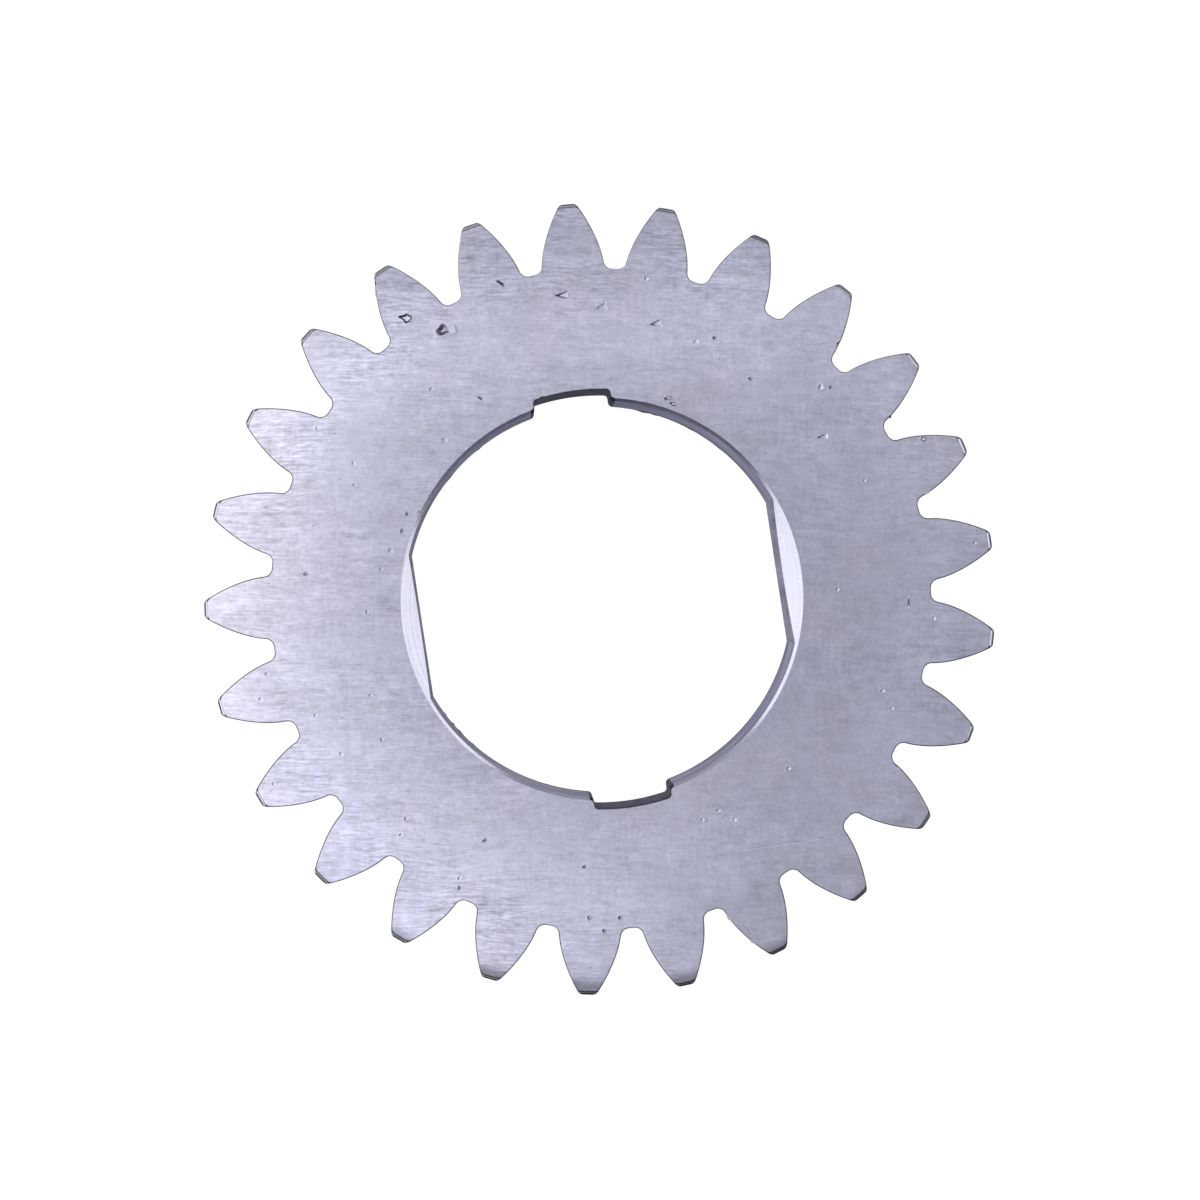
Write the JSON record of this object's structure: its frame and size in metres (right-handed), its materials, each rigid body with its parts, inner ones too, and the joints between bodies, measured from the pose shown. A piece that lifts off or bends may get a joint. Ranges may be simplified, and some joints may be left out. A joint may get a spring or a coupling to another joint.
{
  "type": "pump drive gear",
  "caption": "Flat external spur gear with ground faces, driven through a bore with opposed flats, notches and a lead-in.",
  "frame": {"origin": "on the bore axis, at the rear face", "axes": "+Z along the bore axis, out of the front face, where the lead-in is; +X through the middle of one tooth and square to the drive flats; the notches lie along Y"},
  "size_m": [0.0942, 0.0944, 0.009],
  "materials": {
    "ground_steel": "surface-ground faces with fine parallel lines, bright turned lead-in, darker bore wall and tooth flanks"
  },
  "bodies": {
    "root": {"drive_gear": "ground_steel"}
  },
  "joints": []
}
